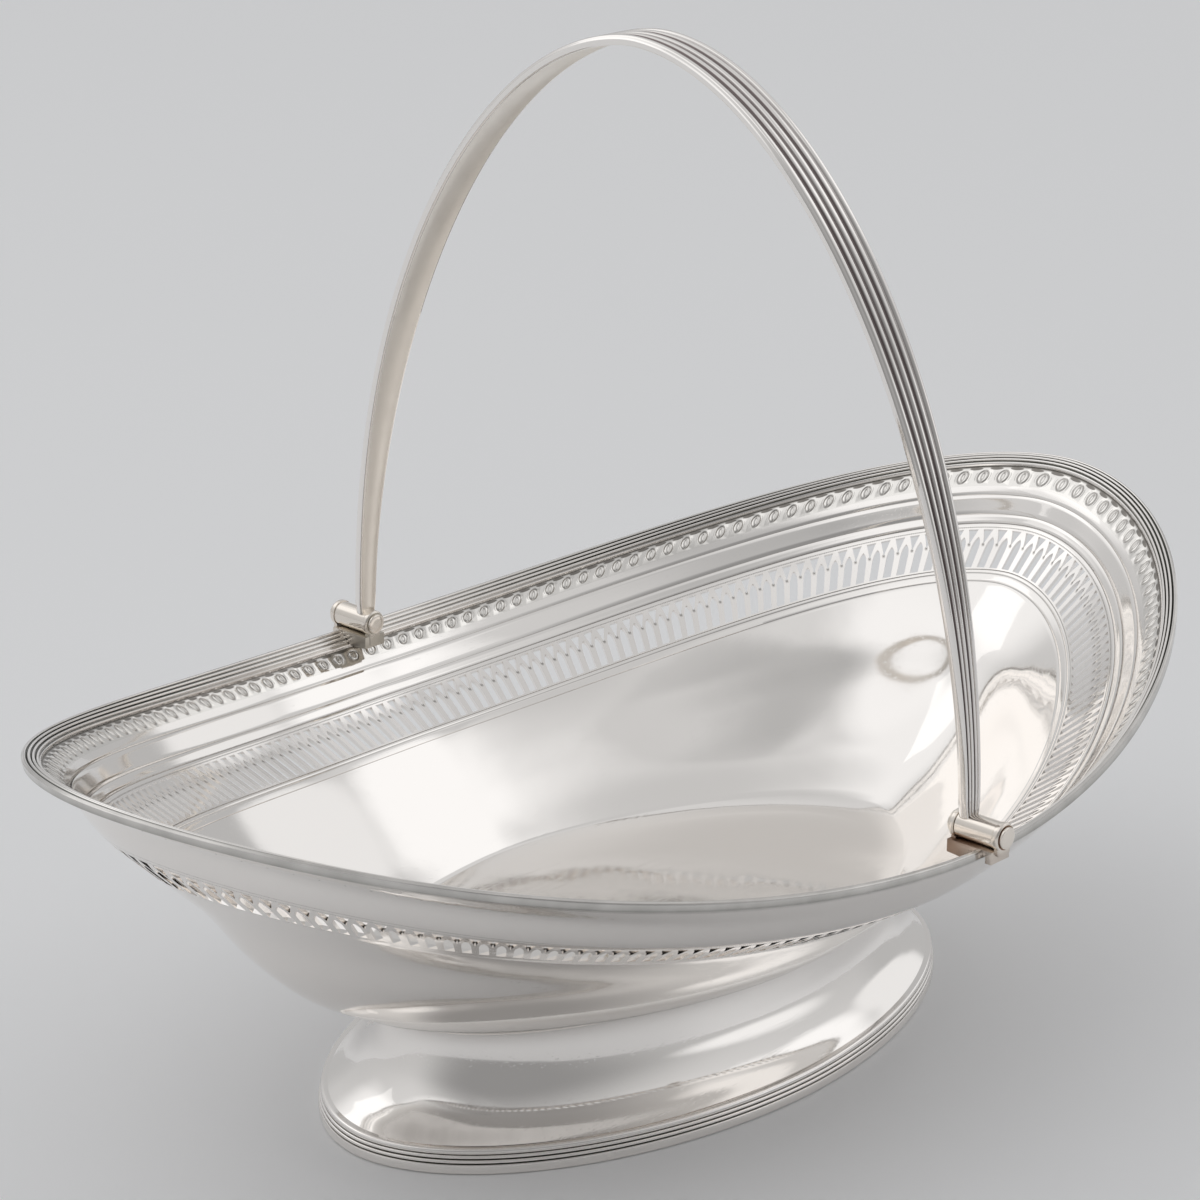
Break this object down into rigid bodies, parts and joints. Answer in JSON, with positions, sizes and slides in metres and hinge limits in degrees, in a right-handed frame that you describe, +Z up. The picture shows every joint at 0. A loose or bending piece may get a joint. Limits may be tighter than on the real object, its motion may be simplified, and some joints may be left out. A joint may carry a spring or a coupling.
{
  "type": "swing-handled basket",
  "caption": "Boat-shaped silver cake basket with a pierced gallery, an oval foot and a reeded handle that swings from two hinges on its rim.",
  "frame": {"origin": "middle of the foot's underside", "axes": "+X along the boat, +Y across it towards the far hinge, +Z up"},
  "size_m": [0.3608, 0.2276, 0.2585],
  "materials": {
    "silver_sheet": "polished sterling silver sheet with soft wear and a faint warm tone",
    "silver_moulding": "polished sterling silver with darkened grooves between its reeds",
    "silver_hinge": "polished sterling silver, a little duller and warmer than the sheet"
  },
  "bodies": {
    "basket": {"bowl": "silver_sheet", "rim_moulding": "silver_moulding", "foot": "silver_sheet", "foot_moulding": "silver_moulding", "hinge_bracket_near": "silver_hinge", "hinge_bracket_far": "silver_hinge", "hinge_pin_near": "silver_hinge", "hinge_pin_far": "silver_hinge"},
    "handle": {"handle": "silver_moulding", "handle_knuckle_near": "silver_hinge", "handle_knuckle_far": "silver_hinge"}
  },
  "joints": [
    {"name": "handle_swing", "type": "hinge", "parent": "basket", "child": "handle", "pos_m": [0, 0, 0.0857], "axis": [0, 1, 0], "range_deg": [-79, 79]}
  ]
}
